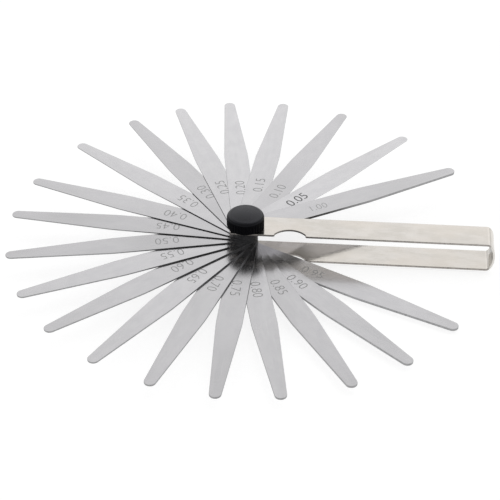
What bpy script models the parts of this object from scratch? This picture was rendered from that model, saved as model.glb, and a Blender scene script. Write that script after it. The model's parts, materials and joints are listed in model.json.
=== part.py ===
"""Feeler gauge: twenty thickness blades on one pivot, in a folded steel sheath, clamped by a knurled knob.

Sizes are in millimetres and angles in degrees until they reach a mesh or an object. The pivot's axis is Z
through the origin. The sheath runs along +X, and its lower arm lies on Z = 0. The blades stand fanned out
round the pivot, and each is named after its thickness.
"""

import math

import bmesh
import bpy
from mathutils import Matrix

MM = 0.001

# Blades: a round root on the pivot, parallel sides, then a straight taper to a round tip
BLADE_STEP = 0.05
BLADE_LENGTH = 100.0
BLADE_WIDTH = 10.0
TAPER_START = 53.0
TAPER_HALF_ANGLE = 3.9
BLADE_GAP = 0.02
# From the top of the stack down: the thickest blade covers the thin ones, which then grow downwards
STACK = [20, *range(1, 20)]
FAN_ANGLES = (
    29.5, 48.7, 68, 84.5, 99, 112.5, 126, 143, 162, 176.5,
    193, 208.5, 223, 238, 253, 268, 282.5, 299, 314.5, 332,
)

# Sheath: one strip folded into two arms by a flattened bend
STRIP_THICKNESS = 0.8
STRIP_WIDTH = 11.4
STACK_CLEARANCE = 0.08
BEND_START = 95.3
BEND_DEPTH = 3.2
ARM_END = 6.7
ARM_END_RADIUS = 12.0
CORNER_RADIUS = 0.6
NOTCH_X = 18.0
NOTCH_RADIUS = 7.7
NOTCH_DEPTH = 3.7

# Pivot stud: a flush countersunk head, a smooth shank for the blades, and a thread for the knob
SHANK_RADIUS = 2.5
RUNNING_CLEARANCE = 0.05
HEAD_RADIUS = 4.0
HEAD_TAPER = 1.0
THREAD_RADIUS = 1.95
THREAD_CLEARANCE = 0.1
STUD_HEIGHT = 16.2
STUD_CHAMFER = 0.4

# Clamping knob, moulded round a brass insert that bears on the upper arm
INSERT_GAP = 0.03
INSERT_HEIGHT = 3.4
INSERT_RADIUS = 3.5
INSERT_PROUD = 0.05
KNOB_RADIUS = 7.45
KNOB_SIDE = 4.1
KNOB_EDGE_RADIUS = 1.4
KNOB_FOOT_CHAMFER = 0.4
KNOB_DOME = 0.25
KNOB_ROOF_GAP = 0.5
GRIP_TEETH = 36
GRIP_DEPTH = 0.3

CUT_MARGIN = 1.0
ARC_STEPS = 12
ROUND_STEPS = 32
SHARP_ANGLE = 30.0

BLADE_HALF_WIDTH = BLADE_WIDTH / 2
BLADE_REACH = BLADE_LENGTH - BLADE_HALF_WIDTH
BLADE_STACK_HEIGHT = sum(STACK) * BLADE_STEP + (len(STACK) - 1) * BLADE_GAP
SHEATH_HEIGHT = 2 * (STRIP_THICKNESS + STACK_CLEARANCE) + BLADE_STACK_HEIGHT
UPPER_ARM_UNDERSIDE = SHEATH_HEIGHT - STRIP_THICKNESS
INSERT_BOTTOM = SHEATH_HEIGHT + INSERT_GAP
KNOB_BOTTOM = INSERT_BOTTOM + INSERT_PROUD


def clear_scene():
    for old in list(bpy.data.objects):
        bpy.data.objects.remove(old)


def metal_or_plastic(name, colour, roughness, metallic):
    material = bpy.data.materials.new(name)
    material.use_nodes = True
    shader = material.node_tree.nodes["Principled BSDF"]
    shader.inputs["Base Color"].default_value = (*colour, 1.0)
    shader.inputs["Roughness"].default_value = roughness
    shader.inputs["Metallic"].default_value = metallic
    material.diffuse_color = (*colour, 1.0)
    return material


def add_object(name, bm, material):
    """Turns a bmesh into a named object with smooth round faces and its own material."""
    bmesh.ops.recalc_face_normals(bm, faces=bm.faces)
    mesh = bpy.data.meshes.new(name)
    bm.to_mesh(mesh)
    bm.free()
    mesh.shade_smooth()
    mesh.set_sharp_from_angle(angle=math.radians(SHARP_ANGLE))
    mesh.materials.append(material)
    made = bpy.data.objects.new(name, mesh)
    bpy.context.scene.collection.objects.link(made)
    return made


def arc(centre, radius, start, end, steps):
    """Points on a circle from one angle to another, both included."""
    angles = [math.radians(start + (end - start) * i / steps) for i in range(steps + 1)]
    return [(centre[0] + radius * math.cos(a), centre[1] + radius * math.sin(a)) for a in angles]


def circle(radius):
    return arc((0.0, 0.0), radius, 0.0, 360.0, ROUND_STEPS)[:-1]


def plate(outlines, low, high):
    """A flat plate between two heights. The first outline is its edge, and any others are holes in it."""
    bm = bmesh.new()
    edges = []
    for outline in outlines:
        corners = [bm.verts.new((x * MM, y * MM, low * MM)) for x, y in outline]
        edges += [bm.edges.new(pair) for pair in zip(corners, corners[1:] + corners[:1])]
    bmesh.ops.triangle_fill(bm, use_beauty=True, edges=edges)
    grown = bmesh.ops.extrude_face_region(bm, geom=bm.faces[:])
    raised = [item for item in grown["geom"] if isinstance(item, bmesh.types.BMVert)]
    bmesh.ops.translate(bm, verts=raised, vec=(0.0, 0.0, (high - low) * MM))
    return bm


def turned(profile, steps, radius_at=None):
    """A closed solid turned about Z from (radius, height) points that run round its half section."""
    bm = bmesh.new()
    rings = []
    for index, (radius, height) in enumerate(profile):
        if radius == 0:
            rings.append([bm.verts.new((0.0, 0.0, height * MM))] * steps)
            continue
        ring = []
        for step in range(steps):
            angle = math.tau * step / steps
            here = radius_at(index, step) if radius_at else radius
            ring.append(bm.verts.new((here * math.cos(angle) * MM, here * math.sin(angle) * MM, height * MM)))
        rings.append(ring)
    on_axis = profile[0][0] == 0
    pairs = zip(rings, rings[1:]) if on_axis else zip(rings, rings[1:] + rings[:1])
    for lower, upper in pairs:
        for step in range(steps):
            after = (step + 1) % steps
            corners = [lower[step], lower[after], upper[after], upper[step]]
            bm.faces.new(list(dict.fromkeys(corners)))
    return bm


def cut(target, cutter, operation):
    """Cuts the target with a hidden cutter that stays in the scene as a guide."""
    cutter.hide_render = True
    cutter.display_type = "WIRE"
    modifier = target.modifiers.new(cutter.name, "BOOLEAN")
    modifier.operation = operation
    modifier.solver = "EXACT"
    modifier.object = cutter


def blade_outline():
    """The root and the tip are arcs, and the tip's arc is tangent to both tapered sides."""
    slope = math.radians(TAPER_HALF_ANGLE)
    taper_length = BLADE_REACH - TAPER_START
    tip_radius = (BLADE_HALF_WIDTH * math.cos(slope) - taper_length * math.sin(slope)) / (1 - math.sin(slope))
    tip_sweep = 90.0 - TAPER_HALF_ANGLE
    root = arc((0.0, 0.0), BLADE_HALF_WIDTH, 90.0, 270.0, ARC_STEPS)
    tip = arc((BLADE_REACH - tip_radius, 0.0), tip_radius, -tip_sweep, tip_sweep, ARC_STEPS)
    return [*root, (TAPER_START, -BLADE_HALF_WIDTH), *tip, (TAPER_START, BLADE_HALF_WIDTH)]


def make_blades(material):
    """The blades lie on each other from the upper arm down, each turned to its own place in the fan."""
    outlines = [blade_outline(), circle(SHANK_RADIUS + RUNNING_CLEARANCE)]
    top = UPPER_ARM_UNDERSIDE - STACK_CLEARANCE
    for steps, angle in zip(STACK, FAN_ANGLES):
        thickness = steps * BLADE_STEP
        name = f"blade_{thickness:.2f}".replace(".", "_")
        blade = add_object(name, plate(outlines, 0.0, thickness), material)
        blade.location.z = (top - thickness) * MM
        blade.rotation_euler.z = math.radians(angle)
        top -= thickness + BLADE_GAP


def strip_profile():
    """The folded strip seen along Y: half an ellipse at the bend, and a curve one thickness inside it."""
    middle = SHEATH_HEIGHT / 2
    outer = []
    inner = []
    for angle in [math.radians(-90.0 + 180.0 * i / ARC_STEPS) for i in range(ARC_STEPS + 1)]:
        across = BEND_DEPTH * math.cos(angle)
        up = middle * math.sin(angle)
        normal = (middle * math.cos(angle), BEND_DEPTH * math.sin(angle))
        size = math.hypot(*normal)
        outer.append((BEND_START + across, middle + up))
        inner.append(
            (
                BEND_START + across - STRIP_THICKNESS * normal[0] / size,
                middle + up - STRIP_THICKNESS * normal[1] / size,
            )
        )
    far = -ARM_END - CUT_MARGIN
    ends_above = [(far, SHEATH_HEIGHT), (far, UPPER_ARM_UNDERSIDE)]
    ends_below = [(far, STRIP_THICKNESS), (far, 0.0)]
    return [*outer, *ends_above, *reversed(inner), *ends_below]


def sheath_outline():
    """The sheath seen from above: arched arm ends, straight sides and the thumb notch in the -Y side."""
    half = STRIP_WIDTH / 2
    arch = math.degrees(math.asin(half / ARM_END_RADIUS))
    arm_end = arc((ARM_END_RADIUS - ARM_END, 0.0), ARM_END_RADIUS, 180.0 - arch, 180.0 + arch, ARC_STEPS)
    notch_centre = (NOTCH_X, NOTCH_DEPTH - half - NOTCH_RADIUS)
    reach = math.degrees(math.acos((NOTCH_RADIUS - NOTCH_DEPTH) / NOTCH_RADIUS))
    notch = arc(notch_centre, NOTCH_RADIUS, 90.0 + reach, 90.0 - reach, ARC_STEPS)
    far = BEND_START + BEND_DEPTH + CUT_MARGIN
    return [*arm_end, *notch, (far, -half), (far, half)]


def make_sheath(material):
    half = STRIP_WIDTH / 2 + CUT_MARGIN
    strip = plate([strip_profile()], -half, half)
    upright = Matrix.Rotation(math.radians(90.0), 3, "X")
    bmesh.ops.rotate(strip, verts=strip.verts, cent=(0.0, 0.0, 0.0), matrix=upright)
    sheath = add_object("sheath", strip, material)
    plan = plate([sheath_outline()], -CUT_MARGIN, SHEATH_HEIGHT + CUT_MARGIN)
    corners = [edge for edge in plan.edges if is_corner(edge)]
    bmesh.ops.bevel(plan, geom=corners, offset=CORNER_RADIUS * MM, segments=4, profile=0.5, affect="EDGES")
    cut(sheath, add_object("sheath_plan", plan, material), "INTERSECT")
    cut(sheath, thread_hole_cutter(material), "DIFFERENCE")
    cut(sheath, head_seat_cutter(material), "DIFFERENCE")


def thread_hole_cutter(material):
    """A plain cylinder through the upper arm."""
    radius = THREAD_RADIUS + THREAD_CLEARANCE
    low = UPPER_ARM_UNDERSIDE - CUT_MARGIN
    high = SHEATH_HEIGHT + CUT_MARGIN
    profile = [(0, low), (radius, low), (radius, high), (0, high)]
    return add_object("thread_hole", turned(profile, ROUND_STEPS), material)


def head_seat_cutter(material):
    """A cone through the lower arm, with the slope of the stud's countersunk head."""
    slope = HEAD_TAPER / STRIP_THICKNESS
    seat_radius = HEAD_RADIUS + RUNNING_CLEARANCE
    low = -CUT_MARGIN
    high = STRIP_THICKNESS + CUT_MARGIN
    profile = [(0, low), (seat_radius - slope * low, low), (seat_radius - slope * high, high), (0, high)]
    return add_object("head_seat", turned(profile, ROUND_STEPS), material)


def is_corner(edge):
    upright = abs(edge.verts[0].co.z - edge.verts[1].co.z) > MM
    return upright and edge.calc_face_angle() > math.radians(SHARP_ANGLE)


def make_pivot_stud(material):
    shank_top = UPPER_ARM_UNDERSIDE - STACK_CLEARANCE / 2
    profile = [
        (0, 0),
        (HEAD_RADIUS, 0),
        (HEAD_RADIUS - HEAD_TAPER, STRIP_THICKNESS),
        (SHANK_RADIUS, STRIP_THICKNESS),
        (SHANK_RADIUS, shank_top),
        (THREAD_RADIUS, shank_top),
        (THREAD_RADIUS, STUD_HEIGHT - STUD_CHAMFER),
        (THREAD_RADIUS - STUD_CHAMFER, STUD_HEIGHT),
        (0, STUD_HEIGHT),
    ]
    add_object("pivot_stud", turned(profile, ROUND_STEPS), material)


def make_insert(material):
    bore = THREAD_RADIUS + THREAD_CLEARANCE
    top = INSERT_BOTTOM + INSERT_HEIGHT
    profile = [(bore, INSERT_BOTTOM), (INSERT_RADIUS, INSERT_BOTTOM), (INSERT_RADIUS, top), (bore, top)]
    add_object("threaded_insert", turned(profile, ROUND_STEPS), material)


def make_knob(material):
    """A cap with a bore for the insert, a serrated side between two plain bands and a softly domed top."""
    bore = INSERT_RADIUS + RUNNING_CLEARANCE
    roof = INSERT_BOTTOM + INSERT_HEIGHT + KNOB_ROOF_GAP
    side_top = KNOB_BOTTOM + KNOB_SIDE
    rim = KNOB_RADIUS - KNOB_EDGE_RADIUS
    edge = arc((rim, side_top), KNOB_EDGE_RADIUS, 0.0, 90.0, 4)
    shoulder = side_top + KNOB_EDGE_RADIUS
    summit = shoulder + KNOB_DOME
    dome = [(rim * (1 - share), shoulder + KNOB_DOME * share * (2 - share)) for share in (0.3, 0.6)]
    profile = [(0, roof), (bore, roof), (bore, KNOB_BOTTOM), (KNOB_RADIUS - KNOB_FOOT_CHAMFER, KNOB_BOTTOM)]
    profile += [(KNOB_RADIUS, KNOB_BOTTOM + KNOB_FOOT_CHAMFER), *edge, *dome, (0, summit)]
    serrated = (4, 5)

    def radius_at(index, step):
        groove = GRIP_DEPTH if index in serrated and step % 2 else 0.0
        return profile[index][0] - groove

    add_object("clamp_knob", turned(profile, 2 * GRIP_TEETH, radius_at), material)


def build():
    clear_scene()
    nickel = metal_or_plastic("nickel_plated_steel", (0.72, 0.69, 0.66), 0.25, 1.0)
    blade_steel = metal_or_plastic("polished_blade_steel", (0.62, 0.63, 0.64), 0.22, 1.0)
    stud_steel = metal_or_plastic("turned_steel", (0.50, 0.50, 0.51), 0.35, 1.0)
    brass = metal_or_plastic("brass", (0.71, 0.52, 0.24), 0.35, 1.0)
    black_plastic = metal_or_plastic("black_plastic", (0.015, 0.015, 0.017), 0.45, 0.0)
    make_sheath(nickel)
    make_blades(blade_steel)
    make_pivot_stud(stud_steel)
    make_insert(brass)
    make_knob(black_plastic)


build()
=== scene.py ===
import json
import math

import bmesh
import bpy
from mathutils import Matrix, Vector


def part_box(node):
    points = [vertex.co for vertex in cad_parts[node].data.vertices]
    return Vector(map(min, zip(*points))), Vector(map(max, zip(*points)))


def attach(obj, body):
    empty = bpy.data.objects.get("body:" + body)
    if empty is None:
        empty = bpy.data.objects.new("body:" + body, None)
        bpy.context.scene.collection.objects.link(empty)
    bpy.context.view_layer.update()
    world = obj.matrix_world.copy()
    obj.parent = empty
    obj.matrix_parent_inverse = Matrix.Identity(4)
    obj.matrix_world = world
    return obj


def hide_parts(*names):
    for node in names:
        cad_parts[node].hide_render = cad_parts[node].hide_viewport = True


# Feeler gauge: the looks of its twenty blades, folded sheath, pivot stud and clamping knob.
# Sizes are in millimetres and angles in degrees until they reach a mesh or an object.

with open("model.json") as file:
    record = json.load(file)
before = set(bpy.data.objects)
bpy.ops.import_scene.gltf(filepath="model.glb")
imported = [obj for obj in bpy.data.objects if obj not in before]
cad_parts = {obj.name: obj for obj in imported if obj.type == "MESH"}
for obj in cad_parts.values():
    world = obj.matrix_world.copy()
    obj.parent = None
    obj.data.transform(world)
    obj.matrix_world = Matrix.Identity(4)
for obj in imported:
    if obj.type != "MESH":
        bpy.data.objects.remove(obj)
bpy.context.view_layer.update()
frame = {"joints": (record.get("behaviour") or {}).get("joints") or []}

MM = 0.001
SHEATH_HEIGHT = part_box("sheath")[1].z / MM

# Blades
BLADE_REACH = 95.0
BLADE_HALF_WIDTH = 5.0
TAPER_START = 53.0
TAPER_HALF_ANGLE = 3.9
TAPER_BLEND_RADIUS = 60.0
PIVOT_HOLE_RADIUS = 2.55
BLADE_EDGE_ROUNDING = 0.08
THIN_BLADE_ROUNDING = 0.3
TOP_BLADE = "blade_1_00"

# How bright each blade's faces are, from the 1.00 blade down the stack to the 0.95 blade
BLADE_POLISH = (
    0.4, 0.8, 0.3, 0.7, 0.8, 0.7, 0.3, 0.6, 0.4, 0.2,
    0.2, 0.6, 0.5, 0.7, 0.5, 0.4, 0.6, 0.4, 0.5, 0.6,
)
SEED_STEP = 7.3

# Where the blades' painted shade near the pivot fades out, as distances from the pivot
EDGE_PAINTED_SHADE_FADE = (26.0, 54.0)
UNDERSIDE_PAINTED_SHADE_FADE = (22.0, 34.0)

# Thickness marks, read outwards from the pivot
MARK_START = 26.4
MARK_STARTS = {"0.05": 23.8, "0.10": 24.2, "0.20": 24.3, "0.40": 25.6, "1.00": 27.8}
MARK_SIZE = 5.8
MARK_SIZES = {"0.05": 6.1, "1.00": 4.9}
MARK_THINNING = 0.012
DEEP_MARK_THINNING = 0.004
DEEP_MARK = "0.05"
WORN_MARK = "1.00"
MARK_PROUD = 0.004
MARK_SUNK = 0.01
MARK_CURVE_STEPS = 5
MERGE_DISTANCE = 0.0001

# Sheath
STRIP_THICKNESS = 0.8
STRIP_WIDTH = 11.4
STRIP_EDGE_ROUNDING = 0.12
BEND_START = 95.3
BEND_DEPTH = 3.2
BEND_STATIONS = 40
ARM_END = 6.7
ARM_END_RADIUS = 12.0
CORNER_RADIUS = 0.6
NOTCH_X = 18.0
NOTCH_RADIUS = 7.7
NOTCH_DEPTH = 3.7
HEAD_SEAT_RADIUS = 4.05
HEAD_TAPER = 1.0
SEAT_RIM = 0.3
THREAD_HOLE_RADIUS = 2.05
INNER_DEPTH_SHARE = 0.99

# Where the sheath's painted shade and edge colour change, as distances from the pivot
ARM_PAINTED_SHADE_FADE = (12.0, 25.0)
BEND_PAINTED_SHADE_RISE = (96.4, 97.6)
BEND_EDGE_LIGHTER_RISE = (96.2, 97.0)

# Pivot stud and insert, on an M4 thread
HEAD_RADIUS = 4.0
SHANK_RADIUS = 2.5
THREAD_RADIUS = 1.95
THREAD_DEPTH = 0.36
THREAD_PITCH = 0.7
THREAD_LEVELS_PER_PITCH = 12
THREAD_CREST = 1.6
THREAD_FLANK = 4.4
STUD_CHAMFER = 0.4
STUD_EDGE = 0.06
STUD_POINT = 0.1
STUD_STEPS = 48
SHANK_CLEARANCE = 0.04
INSERT_RADIUS = 3.5
INSERT_BORE = 2.05
INSERT_CHAMFER = 0.25
INSERT_THREAD_DEPTH = 0.3
KNURL_TEETH = 24
KNURL_STEPS_PER_TOOTH = 4
KNURL_DEPTH = 0.1

# Knob
KNOB_RADIUS = 7.45
KNOB_EDGE_RADIUS = 1.8
KNOB_EDGE_STEPS = 12
KNOB_FOOT_RADIUS = 0.4
KNOB_FOOT_STEP = 0.1
KNOB_FOOT_SWEEP = 80.0
KNOB_FOOT_STEPS = 5
KNOB_DOME = 0.45
KNOB_SIDE_STEPS = 8
KNOB_DOME_STEPS = 8
KNOB_BORE = 3.55
KNOB_ROOF = 3.85
KNOB_ROOF_CHAMFER = 0.3
KNOB_MOUTH_CHAMFER = 0.2
GRIP_TEETH = 36
GRIP_STEPS_PER_TOOTH = 8
GRIP_DEPTH = 0.3
GRIP_SHARPNESS = 1.5
GRIP_FADE = 0.35
# Shares of the rounded edge's height, from its foot: the grip's finish ends, and the top's begins
GRIP_FINISH_END = 0.45
TOP_FINISH_START = 0.85

# Material slots: every plate has flats and edges, and some pieces have more finishes
FLAT_SLOT = 0
EDGE_SLOT = 1
BLADE_UNDERSIDE_SLOT = 2
LOWER_ARM_INSIDE_SLOT = 2
UPPER_ARM_INSIDE_SLOT = 3
KNOB_SHOULDER_SLOT = 1
KNOB_GRIP_SLOT = 2

# Shares of a darker colour: painted shade near the pivot, and painted shade inside the bend
BLADE_PAINTED_SHADE = 0.8
ARM_PAINTED_SHADE = 0.9
BEND_PAINTED_SHADE = 0.9

ARC_STEPS = 24
ROUND_STEPS = 64
ROUNDING_STEPS = 4
CORNER_ANGLE = 20.0
SHARP_ANGLE = 50.0

# Camera, light and floor
CAMERA_AZIMUTH = 4.7
CAMERA_ELEVATION = 36.7
CAMERA_ROLL = -0.16
CAMERA_DISTANCE = 695.0
CAMERA_TARGET = (2.4, -7.8, 6.15)
CAMERA_LENS = 126.8
SUN_AZIMUTH = 150.0
SUN_ELEVATION = 62.0
SUN_STRENGTH = 0.15
SUN_SPREAD = 30.0
FLOOR_HALF_SIZE = 6000.0
FLOOR_DROP = 0.15
FLOOR_GLOW = 0.74


# ---------------------------------------------------------------- outlines

def arc(centre, radius, start, end, steps=ARC_STEPS):
    """Points on a circle from one angle to another, both included."""
    angles = [math.radians(start + (end - start) * i / steps) for i in range(steps + 1)]
    return [(centre[0] + radius * math.cos(a), centre[1] + radius * math.sin(a)) for a in angles]


def circle(radius, centre=(0.0, 0.0)):
    return arc(centre, radius, 0.0, 360.0, ROUND_STEPS)[:-1]


def softened(outline, radius):
    """Rounds the corners of an outline, which are the points where it turns sharply."""
    result = []
    count = len(outline)
    for index, point in enumerate(outline):
        here = Vector(point)
        back = (Vector(outline[index - 1]) - here).normalized()
        ahead = (Vector(outline[(index + 1) % count]) - here).normalized()
        turn = math.pi - back.angle(ahead)
        if turn < math.radians(CORNER_ANGLE):
            result.append(point)
            continue
        inward = (back + ahead).normalized()
        centre = here + inward * radius / math.cos(turn / 2)
        first = here + back * radius * math.tan(turn / 2) - centre
        last = here + ahead * radius * math.tan(turn / 2) - centre
        for step in range(ROUNDING_STEPS + 1):
            result.append(tuple(centre + first.slerp(last, step / ROUNDING_STEPS)))
    return result


def inset(outline, distance):
    """Moves a counterclockwise outline inwards by a distance. A clockwise one grows."""
    moved = []
    count = len(outline)
    for index, point in enumerate(outline):
        before = (Vector(point) - Vector(outline[index - 1])).normalized()
        after = (Vector(outline[(index + 1) % count]) - Vector(point)).normalized()
        left = Vector((-before.y - after.y, before.x + after.x))
        left /= max(1e-6, (1.0 + before.dot(after)))
        moved.append((point[0] + left.x * distance, point[1] + left.y * distance))
    return moved


def blade_outline():
    """Round root, parallel sides, straight taper, and a round tip tangent to it."""
    slope = math.radians(TAPER_HALF_ANGLE)
    taper_length = BLADE_REACH - TAPER_START
    tip_height = BLADE_HALF_WIDTH * math.cos(slope) - taper_length * math.sin(slope)
    tip_radius = tip_height / (1 - math.sin(slope))
    sweep = 90.0 - TAPER_HALF_ANGLE
    tip = arc((BLADE_REACH - tip_radius, 0.0), tip_radius, -sweep, sweep)
    shoulder_x = TAPER_START - TAPER_BLEND_RADIUS * math.tan(slope / 2)
    shoulder_centre = (shoulder_x, TAPER_BLEND_RADIUS - BLADE_HALF_WIDTH)
    low = arc(shoulder_centre, TAPER_BLEND_RADIUS, 270.0, 270.0 + TAPER_HALF_ANGLE, ROUNDING_STEPS)
    high = [(x, -y) for x, y in reversed(low)]
    root = arc((0.0, 0.0), BLADE_HALF_WIDTH, 90.0, 270.0)
    return [*root, *low, *tip, *high]


# ---------------------------------------------------------------- meshes

def add_piece(name, bm, *materials):
    mesh = bpy.data.meshes.new(name)
    bm.to_mesh(mesh)
    bm.free()
    for material in materials:
        mesh.materials.append(material)
    piece = bpy.data.objects.new(name, mesh)
    bpy.context.scene.collection.objects.link(piece)
    return piece


def rounded_plate(outline, holes, low, high, rounding):
    """A plate with rounded rims, whose flats and edges have a material slot each."""
    bm = bmesh.new()
    quarter_turn = [math.radians(90.0 * i / ROUNDING_STEPS) for i in range(ROUNDING_STEPS + 1)]
    levels = [(rounding * (1 - math.sin(a)), low + rounding * (1 - math.cos(a))) for a in quarter_turn]
    levels += [(side, high + low - height) for side, height in reversed(levels)]
    rims = ([], [])
    for loop in (outline, *[list(reversed(hole)) for hole in holes]):
        rings = []
        for side, height in levels:
            rings.append([bm.verts.new((x * MM, y * MM, height * MM)) for x, y in inset(loop, side)])
        for lower, upper in zip(rings, rings[1:]):
            for index in range(len(loop)):
                after = (index + 1) % len(loop)
                face = bm.faces.new((lower[index], lower[after], upper[after], upper[index]))
                face.material_index = EDGE_SLOT
        rims[0].extend(edges_round(bm, rings[0]))
        rims[1].extend(edges_round(bm, rings[-1]))
    for rim in rims:
        bmesh.ops.triangle_fill(bm, use_beauty=True, edges=rim)
        for edge in rim:
            edge.smooth = False
    bmesh.ops.recalc_face_normals(bm, faces=bm.faces)
    for face in bm.faces:
        face.smooth = True
    return bm


def edges_round(bm, ring):
    """The edges between neighbours on a closed ring of vertices."""
    return [bm.edges.get(pair) for pair in zip(ring, ring[1:] + ring[:1])]


def turned(profile, steps, radius_at):
    """A closed solid turned about Z from (radius, height) points that run round its half section."""
    bm = bmesh.new()
    rings = []
    for index, (radius, height) in enumerate(profile):
        if radius == 0:
            rings.append([bm.verts.new((0.0, 0.0, height * MM))] * steps)
            continue
        ring = []
        for step in range(steps):
            turn = step / steps
            angle = math.tau * turn
            here = radius_at(index, turn) * MM
            ring.append(bm.verts.new((here * math.cos(angle), here * math.sin(angle), height * MM)))
        rings.append(ring)
    pairs = zip(rings, rings[1:]) if profile[0][0] == 0 else zip(rings, rings[1:] + rings[:1])
    for lower, upper in pairs:
        for step in range(steps):
            after = (step + 1) % steps
            corners = [lower[step], lower[after], upper[after], upper[step]]
            bm.faces.new(list(dict.fromkeys(corners)))
    bmesh.ops.recalc_face_normals(bm, faces=bm.faces)
    for face in bm.faces:
        face.smooth = True
    for edge in bm.edges:
        if edge.calc_face_angle(0.0) > math.radians(SHARP_ANGLE):
            edge.smooth = False
    return bm


def give_number(piece, name, number):
    """A number that is the same all over a piece, for its material to read."""
    values = piece.data.attributes.new(name, "FLOAT", "POINT")
    for item in values.data:
        item.value = number


# ---------------------------------------------------------------- materials

def new_material(name):
    material = bpy.data.materials.new(name)
    material.use_nodes = True
    tree = material.node_tree
    return material, tree, tree.nodes["Principled BSDF"]


def node(tree, kind, **settings):
    made = tree.nodes.new(kind)
    for key, value in settings.items():
        setattr(made, key, value)
    return made


def place_on_piece(tree, scale):
    """The point on the piece in its own frame, in metres, stretched so that noise has the wanted grain."""
    coordinates = node(tree, "ShaderNodeTexCoord")
    mapping = node(tree, "ShaderNodeMapping")
    mapping.inputs["Scale"].default_value = scale
    tree.links.new(coordinates.outputs["Object"], mapping.inputs["Vector"])
    return mapping.outputs["Vector"]


def noise(tree, vector, scale, detail, roughness=0.5, seeded=False):
    """Fractal noise. Where it is seeded, it differs from piece to piece."""
    made = node(tree, "ShaderNodeTexNoise", noise_dimensions="4D" if seeded else "3D")
    made.inputs["Scale"].default_value = scale
    made.inputs["Detail"].default_value = detail
    made.inputs["Roughness"].default_value = roughness
    tree.links.new(vector, made.inputs["Vector"])
    if seeded:
        seed = node(tree, "ShaderNodeAttribute", attribute_name="piece_seed")
        tree.links.new(seed.outputs["Fac"], made.inputs["W"])
    return made.outputs["Fac"]


def between(tree, value, low, high, from_low=0.3, from_high=0.7):
    """Carries a value over from one range to another, smoothly at both ends and never past them."""
    made = node(tree, "ShaderNodeMapRange", interpolation_type="SMOOTHSTEP")
    made.inputs["From Min"].default_value = from_low
    made.inputs["From Max"].default_value = from_high
    made.inputs["To Min"].default_value = low
    made.inputs["To Max"].default_value = high
    tree.links.new(value, made.inputs["Value"])
    return made.outputs["Result"]


def mixed(tree, factor, first, second):
    made = node(tree, "ShaderNodeMix", data_type="RGBA")
    tree.links.new(factor, made.inputs["Factor"])
    for socket, colour in ((made.inputs[6], first), (made.inputs[7], second)):
        if isinstance(colour, tuple):
            socket.default_value = (*colour, 1.0)
        else:
            tree.links.new(colour, socket)
    return made.outputs[2]


def combined(tree, first, second, operation="ADD"):
    made = node(tree, "ShaderNodeMath", operation=operation)
    tree.links.new(first, made.inputs[0])
    tree.links.new(second, made.inputs[1])
    return made.outputs[0]


def bump(tree, shader, height, strength, distance, below=None):
    made = node(tree, "ShaderNodeBump")
    made.inputs["Strength"].default_value = strength
    made.inputs["Distance"].default_value = distance * MM
    tree.links.new(height, made.inputs["Height"])
    if below is not None:
        tree.links.new(below, made.inputs["Normal"])
    tree.links.new(made.outputs["Normal"], shader.inputs["Normal"])
    return made.outputs["Normal"]


def along(tree, first, last, start, end):
    """Goes from a first value to a last one between two distances along a blade or the sheath."""
    place = node(tree, "ShaderNodeSeparateXYZ")
    tree.links.new(place_on_piece(tree, (1.0, 1.0, 1.0)), place.inputs["Vector"])
    return between(tree, place.outputs["X"], first, last, start * MM, end * MM)


def blade_steel(name, painted_pivot_shade):
    """Polished strip steel: fine lengthwise lines, faint clouds, wiped smudges and a tone for each blade.

    Its last argument says how much painted shade darkens it near the pivot.
    """
    material, tree, shader = new_material(name)
    lines = noise(tree, place_on_piece(tree, (28.0, 1700.0, 28.0)), 1.0, 5.0, 0.62, seeded=True)
    clouds = noise(tree, place_on_piece(tree, (22.0, 60.0, 22.0)), 1.0, 2.0, seeded=True)
    smudges = noise(tree, place_on_piece(tree, (120.0, 160.0, 120.0)), 1.0, 3.0, 0.6, seeded=True)
    mottle = noise(tree, place_on_piece(tree, (170.0, 330.0, 170.0)), 1.0, 4.0, 0.65, seeded=True)
    polish = node(tree, "ShaderNodeAttribute", attribute_name="piece_polish")
    dull = mixed(tree, between(tree, lines, 0.0, 1.0), (0.43, 0.425, 0.43), (0.46, 0.455, 0.46))
    bright = mixed(tree, between(tree, lines, 0.0, 1.0), (0.64, 0.635, 0.645), (0.67, 0.665, 0.675))
    shade = mixed(tree, polish.outputs["Fac"], dull, bright)
    cloudy = mixed(tree, between(tree, clouds, 0.0, 0.35), shade, (0.66, 0.65, 0.67))
    mottled = mixed(tree, between(tree, mottle, 0.0, 0.24), cloudy, (0.45, 0.445, 0.47))
    # Painted shade: darker near the pivot, fading out along the blade
    colour = mixed(tree, along(tree, painted_pivot_shade, 0.0, *UNDERSIDE_PAINTED_SHADE_FADE), mottled, (0.12, 0.115, 0.10))
    tree.links.new(colour, shader.inputs["Base Color"])
    grain = between(tree, lines, 0.18, 0.24)
    wiped = between(tree, smudges, 0.0, 0.05, 0.5, 0.75)
    tree.links.new(combined(tree, grain, wiped), shader.inputs["Roughness"])
    shader.inputs["Metallic"].default_value = 1.0
    waves = bump(tree, shader, clouds, 0.3, 0.02)
    bump(tree, shader, lines, 0.07, 0.0015, waves)
    return material


def blade_edge_steel():
    """The slit and deburred edge: painted shade makes it dark near the pivot; it is brighter beyond."""
    material, tree, shader = new_material("blade_edge_steel")
    marks = noise(tree, place_on_piece(tree, (1500.0, 1500.0, 300.0)), 1.0, 4.0, 0.6, seeded=True)
    # Painted shade: the edge is dark near the pivot
    pivot_shaded = mixed(tree, between(tree, marks, 0.0, 1.0), (0.05, 0.05, 0.052), (0.10, 0.10, 0.103))
    clean = mixed(tree, between(tree, marks, 0.0, 1.0), (0.27, 0.27, 0.275), (0.40, 0.40, 0.405))
    colour = mixed(tree, along(tree, 0.0, 1.0, *EDGE_PAINTED_SHADE_FADE), pivot_shaded, clean)
    tree.links.new(colour, shader.inputs["Base Color"])
    tree.links.new(between(tree, marks, 0.28, 0.42), shader.inputs["Roughness"])
    shader.inputs["Metallic"].default_value = 1.0
    bump(tree, shader, marks, 0.3, 0.004)
    return material


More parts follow.
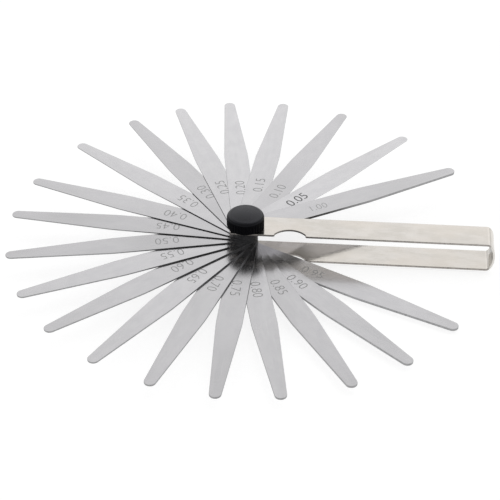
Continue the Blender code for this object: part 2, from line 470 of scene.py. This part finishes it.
def etched_mark(name, dark, light):
    """Etched figures: a dull grey bite in the steel."""
    material, tree, shader = new_material(name)
    grain = noise(tree, place_on_piece(tree, (3000.0, 3000.0, 3000.0)), 1.0, 3.0, 0.6)
    colour = mixed(tree, between(tree, grain, 0.0, 1.0), (dark, dark, dark), (light, light, light))
    tree.links.new(colour, shader.inputs["Base Color"])
    tree.links.new(between(tree, grain, 0.5, 0.7), shader.inputs["Roughness"])
    shader.inputs["Metallic"].default_value = 0.7
    bump(tree, shader, grain, 0.4, 0.004)
    return material


def nickel_plate(name, painted_bend_shade, painted_pivot_shade):
    """Bright nickel over brushed strip: faint lengthwise lines, a ripple, blotches and handling marks.

    The two shades say how much painted shade darkens it inside the bend and near the pivot.
    """
    material, tree, shader = new_material(name)
    lines = noise(tree, place_on_piece(tree, (22.0, 1300.0, 1300.0)), 1.0, 5.0, 0.6)
    ripple = noise(tree, place_on_piece(tree, (70.0, 130.0, 130.0)), 1.0, 2.0)
    marks = noise(tree, place_on_piece(tree, (260.0, 420.0, 420.0)), 1.0, 4.0, 0.65)
    shade = mixed(tree, between(tree, lines, 0.0, 1.0), (0.645, 0.615, 0.58), (0.675, 0.645, 0.61))
    blotches = noise(tree, place_on_piece(tree, (110.0, 240.0, 240.0)), 1.0, 3.0, 0.6)
    tarnish = noise(tree, place_on_piece(tree, (45.0, 90.0, 90.0)), 1.0, 2.0)
    rippled = mixed(tree, between(tree, ripple, 0.0, 0.6), shade, (0.72, 0.695, 0.66))
    blotchy = mixed(tree, between(tree, blotches, 0.0, 0.6, 0.38, 0.62), rippled, (0.585, 0.555, 0.51))
    warmed = mixed(tree, between(tree, tarnish, 0.0, 0.45, 0.38, 0.62), blotchy, (0.70, 0.65, 0.59))
    # Painted shade near the pivot
    pivot_shaded = mixed(tree, along(tree, painted_pivot_shade, 0.0, *ARM_PAINTED_SHADE_FADE), warmed, (0.16, 0.155, 0.145))
    # Painted shade inside the bend
    colour = mixed(tree, along(tree, 0.0, painted_bend_shade, *BEND_PAINTED_SHADE_RISE), pivot_shaded, (0.17, 0.165, 0.155))
    tree.links.new(colour, shader.inputs["Base Color"])
    grain = between(tree, lines, 0.10, 0.17)
    handled = between(tree, marks, 0.0, 0.07, 0.52, 0.72)
    tree.links.new(combined(tree, grain, handled), shader.inputs["Roughness"])
    shader.inputs["Metallic"].default_value = 1.0
    waves = bump(tree, shader, ripple, 0.4, 0.03)
    bump(tree, shader, lines, 0.25, 0.002, waves)
    return material


def nickel_edge():
    """The sheath's sheared edge: streaked through the thickness, and darker with a painted dark reflection,
    but lighter round the bend.
    """
    material, tree, shader = new_material("nickel_edge")
    streaks = noise(tree, place_on_piece(tree, (2200.0, 2200.0, 500.0)), 1.0, 3.0, 0.6)
    # Real streaks over a darker colour that is a painted dark reflection; round the bend the edge is lighter
    streaks_and_painted_dark = mixed(tree, between(tree, streaks, 0.0, 1.0), (0.27, 0.25, 0.235), (0.42, 0.395, 0.37))
    colour = mixed(tree, along(tree, 0.0, 1.0, *BEND_EDGE_LIGHTER_RISE), streaks_and_painted_dark, (0.68, 0.655, 0.62))
    tree.links.new(colour, shader.inputs["Base Color"])
    tree.links.new(between(tree, streaks, 0.24, 0.38), shader.inputs["Roughness"])
    shader.inputs["Metallic"].default_value = 1.0
    bump(tree, shader, streaks, 0.35, 0.006)
    return material


def turned_metal(name, dark, light, roughness):
    """A lathe-turned surface: fine rings round the axis."""
    material, tree, shader = new_material(name)
    coordinates = node(tree, "ShaderNodeTexCoord")
    rings = node(tree, "ShaderNodeTexWave", wave_type="RINGS", rings_direction="Z", wave_profile="SIN")
    rings.inputs["Scale"].default_value = 1500.0
    rings.inputs["Distortion"].default_value = 1.5
    rings.inputs["Detail"].default_value = 2.0
    tree.links.new(coordinates.outputs["Object"], rings.inputs["Vector"])
    colour = mixed(tree, between(tree, rings.outputs["Fac"], 0.0, 1.0), dark, light)
    tree.links.new(colour, shader.inputs["Base Color"])
    uneven = between(tree, rings.outputs["Fac"], roughness - 0.05, roughness + 0.05)
    tree.links.new(uneven, shader.inputs["Roughness"])
    shader.inputs["Metallic"].default_value = 1.0
    bump(tree, shader, rings.outputs["Fac"], 0.2, 0.004)
    return material


def black_plastic(name, roughness, specular):
    """Moulded black plastic with a fine eggshell grain and faint handling shine."""
    material, tree, shader = new_material(name)
    grain = noise(tree, place_on_piece(tree, (3200.0, 3200.0, 3200.0)), 1.0, 3.0, 0.6)
    shine = noise(tree, place_on_piece(tree, (330.0, 330.0, 330.0)), 1.0, 3.0)
    colour = mixed(tree, between(tree, grain, 0.0, 1.0), (0.0015, 0.0015, 0.002), (0.004, 0.004, 0.005))
    tree.links.new(colour, shader.inputs["Base Color"])
    matt = between(tree, grain, roughness - 0.04, roughness + 0.04)
    tree.links.new(combined(tree, matt, between(tree, shine, 0.0, 0.08)), shader.inputs["Roughness"])
    shader.inputs["Specular IOR Level"].default_value = specular
    shader.inputs["Specular Tint"].default_value = (0.88, 0.89, 1.0, 1.0)
    bump(tree, shader, grain, 0.25, 0.01)
    return material


def floor_white():
    """A white light table: mostly its own glow, with the faintest mottle and soft shadows."""
    material, tree, shader = new_material("floor_white")
    mottle = noise(tree, place_on_piece(tree, (9.0, 9.0, 9.0)), 1.0, 3.0)
    colour = mixed(tree, between(tree, mottle, 0.0, 1.0), (0.40, 0.40, 0.40), (0.44, 0.44, 0.44))
    tree.links.new(colour, shader.inputs["Base Color"])
    shader.inputs["Emission Color"].default_value = (1.0, 1.0, 1.0, 1.0)
    shader.inputs["Emission Strength"].default_value = FLOOR_GLOW
    shader.inputs["Roughness"].default_value = 0.9
    shader.inputs["Specular IOR Level"].default_value = 0.1
    return material


# ---------------------------------------------------------------- pieces

def rest_angle(joint):
    """How far a blade stands from the sheath in the fan. Its lower limit is the stored place."""
    return -joint["range_deg"][0]


def make_blade(joint, seed, polish, faces, edges, underside):
    name = joint["child"]
    low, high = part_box(name)
    thickness = (high.z - low.z) / MM
    rounding = min(BLADE_EDGE_ROUNDING, THIN_BLADE_ROUNDING * thickness)
    hole = circle(PIVOT_HOLE_RADIUS)
    bm = rounded_plate(blade_outline(), [hole], 0.0, thickness, rounding)
    for face in bm.faces:
        if face.material_index == FLAT_SLOT and face.calc_center_median().z < thickness / 2 * MM:
            face.material_index = BLADE_UNDERSIDE_SLOT
    blade = add_piece(name + "_steel", bm, faces, edges, underside)
    give_number(blade, "piece_seed", seed)
    give_number(blade, "piece_polish", polish)
    blade.location.z = low.z
    blade.rotation_euler.z = math.radians(rest_angle(joint))
    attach(blade, name)
    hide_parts(name)


def make_mark(joint, etches):
    """The blade's thickness in flat figures that stand less proud than the gap to the next blade."""
    name = joint["child"]
    words = name.replace("blade_", "").replace("_", ".")
    size = MARK_SIZES.get(words, MARK_SIZE)
    start = MARK_STARTS.get(words, MARK_START)
    thinning = DEEP_MARK_THINNING if words == DEEP_MARK else MARK_THINNING
    curve = bpy.data.curves.new("mark_" + name, "FONT")
    curve.body = words
    curve.size = size * MM
    curve.offset = -thinning * size * MM
    curve.align_y = "CENTER"
    curve.resolution_u = MARK_CURVE_STEPS
    curve.extrude = (MARK_PROUD + MARK_SUNK) / 2 * MM
    text = bpy.data.objects.new(curve.name, curve)
    bpy.context.scene.collection.objects.link(text)
    bpy.context.view_layer.update()
    mesh = bpy.data.meshes.new_from_object(text.evaluated_get(bpy.context.evaluated_depsgraph_get()))
    bpy.data.objects.remove(text)
    bm = bmesh.new()
    bm.from_mesh(mesh)
    bmesh.ops.remove_doubles(bm, verts=bm.verts, dist=MERGE_DISTANCE * MM)
    mark = add_piece("mark_" + name.replace("blade_", ""), bm, etches.get(words, etches["plain"]))
    centre_y = sum(corner[1] for corner in mark.bound_box) / len(mark.bound_box)
    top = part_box(name)[1].z
    turn = Matrix.Rotation(math.radians(rest_angle(joint)), 4, "Z")
    lift = top + (MARK_PROUD - MARK_SUNK) / 2 * MM
    mark.matrix_world = turn @ Matrix.Translation((start * MM, -centre_y, lift))
    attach(mark, name)


def sheath_pattern():
    """The strip before it is folded, along its own length: two arched ends, two notches and two holes."""
    half = STRIP_WIDTH / 2
    arch = math.degrees(math.asin(half / ARM_END_RADIUS))
    length = strip_length()
    near = arc((ARM_END_RADIUS, 0.0), ARM_END_RADIUS, 180.0 - arch, 180.0 + arch)
    far = arc((length - ARM_END_RADIUS, 0.0), ARM_END_RADIUS, -arch, arch)
    reach = math.degrees(math.acos((NOTCH_RADIUS - NOTCH_DEPTH) / NOTCH_RADIUS))
    notches = []
    for centre in (ARM_END + NOTCH_X, length - ARM_END - NOTCH_X):
        notches += arc((centre, NOTCH_DEPTH - half - NOTCH_RADIUS), NOTCH_RADIUS, 90.0 + reach, 90.0 - reach)
    outline = softened([*near, *notches, *far], CORNER_RADIUS)
    head_seat = circle(HEAD_SEAT_RADIUS, (ARM_END, 0.0))
    thread_hole = circle(THREAD_HOLE_RADIUS, (length - ARM_END, 0.0))
    return outline, [head_seat, thread_hole]


def arm_length():
    return BEND_START + ARM_END


def bend_length():
    return math.pi * (BEND_DEPTH + SHEATH_HEIGHT / 2) / 2


def strip_length():
    return 2 * arm_length() + bend_length()


def folded(point):
    """Takes a point of the flat strip to its place in the sheath. Its depth is below the outer face."""
    distance, across, depth = point
    past = distance - arm_length()
    middle = SHEATH_HEIGHT / 2
    if past <= 0:
        seat = math.hypot(distance - ARM_END, across)
        if seat < HEAD_SEAT_RADIUS + SEAT_RIM:
            shrink = 1 - HEAD_TAPER * depth / STRIP_THICKNESS / seat
            return ((distance - ARM_END) * shrink, across * shrink, depth)
        return (distance - ARM_END, across, depth)
    if past >= bend_length():
        return (BEND_START - (past - bend_length()), across, 2 * middle - depth)
    turn = math.pi * (past / bend_length() - 0.5)
    normal = Vector((middle * math.cos(turn), BEND_DEPTH * math.sin(turn))).normalized()
    x = BEND_START + BEND_DEPTH * math.cos(turn) - normal.x * depth
    z = middle + middle * math.sin(turn) - normal.y * depth
    return (x, across, z)


def make_sheath(plate, edge, inside, underside):
    """The strip's inner face is the one at its full thickness until the strip is folded."""
    outline, holes = sheath_pattern()
    bm = rounded_plate(outline, holes, 0.0, STRIP_THICKNESS, STRIP_EDGE_ROUNDING)
    for station in range(BEND_STATIONS + 1):
        place = (arm_length() + bend_length() * station / BEND_STATIONS) * MM
        everything = [*bm.verts, *bm.edges, *bm.faces]
        bmesh.ops.bisect_plane(bm, geom=everything, plane_co=(place, 0, 0), plane_no=(1, 0, 0), dist=1e-7)
    for face in bm.faces:
        if min(vert.co.z for vert in face.verts) > INNER_DEPTH_SHARE * STRIP_THICKNESS * MM:
            upper = face.calc_center_median().x > strip_length() / 2 * MM
            face.material_index = UPPER_ARM_INSIDE_SLOT if upper else LOWER_ARM_INSIDE_SLOT
    for vert in bm.verts:
        vert.co = Vector(folded(vert.co / MM)) * MM
    bmesh.ops.recalc_face_normals(bm, faces=bm.faces)
    sheath = add_piece("sheath_strip", bm, plate, edge, inside, underside)
    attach(sheath, "sheath")
    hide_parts("sheath")


def thread_levels(low, high):
    """Heights along a thread, close enough to draw its shape."""
    count = round((high - low) / THREAD_PITCH * THREAD_LEVELS_PER_PITCH)
    return [low + (high - low) * i / count for i in range(count + 1)]


def thread_wave(height, turn, low, high):
    """0 at a thread's root and 1 at its crest, fading to the root at both ends of the thread."""
    phase = (height / THREAD_PITCH - turn) % 1.0
    crest = min(1.0, max(0.0, THREAD_CREST - abs(phase - 0.5) * THREAD_FLANK))
    fade = min(1.0, (height - low) / THREAD_PITCH, (high - height) / THREAD_PITCH)
    return crest * max(0.0, fade)


def make_pivot_stud(material):
    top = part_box("pivot_stud")[1].z / MM
    shank_top = SHEATH_HEIGHT - STRIP_THICKNESS - SHANK_CLEARANCE
    profile = [
        (0, 0),
        (HEAD_RADIUS - STUD_EDGE, 0),
        (HEAD_RADIUS, STUD_EDGE),
        (HEAD_RADIUS - HEAD_TAPER, STRIP_THICKNESS),
        (SHANK_RADIUS, STRIP_THICKNESS),
        (SHANK_RADIUS, shank_top - STUD_EDGE),
        (SHANK_RADIUS - STUD_EDGE, shank_top),
    ]
    thread_high = top - STUD_CHAMFER
    first_level = len(profile)
    levels = thread_levels(shank_top, thread_high)
    profile += [(THREAD_RADIUS, height) for height in levels]
    profile += [(THREAD_RADIUS - THREAD_DEPTH - STUD_POINT, top), (0, top)]

    def radius_at(index, turn):
        radius, height = profile[index]
        if first_level <= index < first_level + len(levels):
            return radius - THREAD_DEPTH * (1 - thread_wave(height, turn, shank_top, thread_high))
        return radius

    stud = add_piece("pivot_stud_turned", turned(profile, STUD_STEPS, radius_at), material)
    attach(stud, "sheath")
    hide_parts("pivot_stud")


def make_insert(material):
    """A brass ring with a straight knurl outside, where the plastic grips it, and a thread inside."""
    low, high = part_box("threaded_insert")
    bottom = low.z / MM
    top = high.z / MM
    face_radius = INSERT_RADIUS - INSERT_CHAMFER
    outer = [(face_radius, bottom), (INSERT_RADIUS, bottom + INSERT_CHAMFER)]
    outer += [(INSERT_RADIUS, top - INSERT_CHAMFER), (face_radius, top)]
    levels = thread_levels(bottom, top)
    inner = [(INSERT_BORE, height) for height in reversed(levels)]
    profile = outer + inner
    knurled = (1, 2)

    def radius_at(index, turn):
        radius, height = profile[index]
        if index in knurled:
            return radius - KNURL_DEPTH * (0.5 - 0.5 * math.cos(math.tau * KNURL_TEETH * turn))
        if index >= len(outer):
            return radius + INSERT_THREAD_DEPTH * thread_wave(height, turn, bottom, top)
        return radius

    mesh = turned(profile, KNURL_TEETH * KNURL_STEPS_PER_TOOTH, radius_at)
    insert = add_piece("threaded_insert_brass", mesh, material)
    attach(insert, "insert")
    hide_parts("threaded_insert")


def make_knob(top, shoulder, grip):
    """A serrated cap: the grooves fade out below the rounded edge, and the top is softly domed."""
    low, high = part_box("clamp_knob")
    foot = low.z / MM
    summit = high.z / MM
    side_top = summit - KNOB_DOME - KNOB_EDGE_RADIUS
    rim = KNOB_RADIUS - KNOB_EDGE_RADIUS
    roof = foot + KNOB_ROOF
    under = [
        (0, roof),
        (KNOB_BORE - KNOB_ROOF_CHAMFER, roof),
        (KNOB_BORE, roof - KNOB_ROOF_CHAMFER),
        (KNOB_BORE, foot + KNOB_MOUTH_CHAMFER),
        (KNOB_BORE + KNOB_MOUTH_CHAMFER, foot),
        (KNOB_RADIUS - KNOB_FOOT_RADIUS - KNOB_FOOT_STEP, foot),
    ]
    side_foot = foot + KNOB_FOOT_RADIUS
    foot_centre = (KNOB_RADIUS - KNOB_FOOT_RADIUS, side_foot)
    foot_edge = arc(foot_centre, KNOB_FOOT_RADIUS, -KNOB_FOOT_SWEEP, 0.0, KNOB_FOOT_STEPS)
    rises = [(side_top - side_foot) * i / KNOB_SIDE_STEPS for i in range(1, KNOB_SIDE_STEPS)]
    side = [(KNOB_RADIUS, side_foot + rise) for rise in rises]
    edge = arc((rim, side_top), KNOB_EDGE_RADIUS, 0.0, 90.0, KNOB_EDGE_STEPS)
    shares = [i / KNOB_DOME_STEPS for i in range(1, KNOB_DOME_STEPS)]
    dome = [(rim * (1 - s), summit - KNOB_DOME * (1 - s) ** 2) for s in shares]
    profile = [*under, *foot_edge, *side, *edge, *dome, (0, summit)]

    def radius_at(index, turn):
        radius, height = profile[index]
        if index < len(under):
            return radius
        wave = 0.5 - 0.5 * math.cos(math.tau * GRIP_TEETH * turn)
        above = max(0.0, min(1.0, (side_top + GRIP_FADE - height) / GRIP_FADE))
        below = max(0.0, min(1.0, (height - foot) / GRIP_FADE))
        return radius - GRIP_DEPTH * wave**GRIP_SHARPNESS * above * below

    bm = turned(profile, GRIP_TEETH * GRIP_STEPS_PER_TOOTH, radius_at)
    for face in bm.faces:
        share = (max(vert.co.z for vert in face.verts) / MM - side_top) / KNOB_EDGE_RADIUS
        if share < GRIP_FINISH_END:
            face.material_index = KNOB_GRIP_SLOT
        elif share < TOP_FINISH_START:
            face.material_index = KNOB_SHOULDER_SLOT
    knob = add_piece("clamp_knob_moulded", bm, top, shoulder, grip)
    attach(knob, "knob")
    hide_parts("clamp_knob")


# ---------------------------------------------------------------- stage

def make_floor():
    bm = bmesh.new()
    bmesh.ops.create_grid(bm, x_segments=1, y_segments=1, size=FLOOR_HALF_SIZE * MM)
    floor = add_piece("floor", bm, floor_white())
    floor.location.z = -FLOOR_DROP * MM


def make_world():
    """A soft white studio: brightest half way up on the far side, dimmer overhead and behind the camera."""
    world = bpy.data.worlds.new("studio")
    bpy.context.scene.world = world
    world.use_nodes = True
    tree = world.node_tree
    background = tree.nodes["Background"]
    coordinates = node(tree, "ShaderNodeTexCoord")
    parts = node(tree, "ShaderNodeSeparateXYZ")
    tree.links.new(coordinates.outputs["Generated"], parts.inputs["Vector"])
    depth = between(tree, parts.outputs["Y"], 0.5, 1.0, -0.6, 0.35)
    horizon = between(tree, parts.outputs["Z"], 0.62, 1.0, 0.0, 0.4)
    overhead = between(tree, parts.outputs["Z"], 1.2, 0.55, 0.45, 0.95)
    height = combined(tree, horizon, overhead, "MULTIPLY")
    tree.links.new(combined(tree, depth, height, "MULTIPLY"), background.inputs["Strength"])
    background.inputs["Color"].default_value = (1.0, 1.0, 1.0, 1.0)


def make_sun():
    light = bpy.data.lights.new("key", "SUN")
    light.energy = SUN_STRENGTH
    light.angle = math.radians(SUN_SPREAD)
    lamp = bpy.data.objects.new("key", light)
    lamp.rotation_mode = "QUATERNION"
    lamp.rotation_quaternion = away(SUN_AZIMUTH, SUN_ELEVATION).to_track_quat("Z", "Y")
    bpy.context.scene.collection.objects.link(lamp)


def away(azimuth, elevation):
    """The direction from the object to a place at this azimuth, where 0 is the front, and elevation."""
    a = math.radians(azimuth)
    e = math.radians(elevation)
    return Vector((math.sin(a) * math.cos(e), -math.cos(a) * math.cos(e), math.sin(e)))


def make_camera():
    camera = bpy.data.objects.new("camera", bpy.data.cameras.new("camera"))
    bpy.context.scene.collection.objects.link(camera)
    back = away(CAMERA_AZIMUTH, CAMERA_ELEVATION)
    camera.data.lens = CAMERA_LENS
    camera.data.clip_start = 0.01
    camera.data.clip_end = 50.0
    camera.rotation_mode = "QUATERNION"
    roll = Matrix.Rotation(math.radians(CAMERA_ROLL), 3, "Z").to_quaternion()
    camera.rotation_quaternion = (-back).to_track_quat("-Z", "Y") @ roll
    camera.location = Vector(CAMERA_TARGET) * MM + back * CAMERA_DISTANCE * MM
    bpy.context.scene.camera = camera


def build():
    steel = blade_steel("blade_steel", 0.0)
    painted_shade_steel = blade_steel("blade_steel_oily", BLADE_PAINTED_SHADE)
    steel_edge = blade_edge_steel()
    etches = {
        "plain": etched_mark("etched_mark", 0.32, 0.45),
        DEEP_MARK: etched_mark("etched_mark_deep", 0.10, 0.19),
        WORN_MARK: etched_mark("etched_mark_worn", 0.38, 0.50),
    }
    blade_joints = [joint for joint in frame["joints"] if joint["child"].startswith("blade_")]
    for place, joint in enumerate(blade_joints):
        # Only the top blade's underside carries painted shade near the pivot
        underside = painted_shade_steel if joint["child"] == TOP_BLADE else steel
        make_blade(joint, SEED_STEP * place, BLADE_POLISH[place], steel, steel_edge, underside)
        make_mark(joint, etches)
    outside = nickel_plate("nickel_plate", 0.0, 0.0)
    inside = nickel_plate("nickel_inside", BEND_PAINTED_SHADE, 0.0)
    # The upper arm's inner face also carries painted shade near the pivot
    underside = nickel_plate("nickel_underside", BEND_PAINTED_SHADE, ARM_PAINTED_SHADE)
    make_sheath(outside, nickel_edge(), inside, underside)
    make_pivot_stud(turned_metal("turned_steel", (0.42, 0.42, 0.43), (0.56, 0.56, 0.57), 0.3))
    make_insert(turned_metal("turned_brass", (0.62, 0.44, 0.19), (0.78, 0.58, 0.30), 0.28))
    knob_top = black_plastic("black_plastic", 0.28, 0.43)
    knob_shoulder = black_plastic("black_plastic_shoulder", 0.38, 0.2)
    make_knob(knob_top, knob_shoulder, black_plastic("black_plastic_grip", 0.5, 0.06))
    make_floor()
    make_world()
    make_sun()
    make_camera()
    bpy.context.scene.view_settings.view_transform = "Standard"


build()
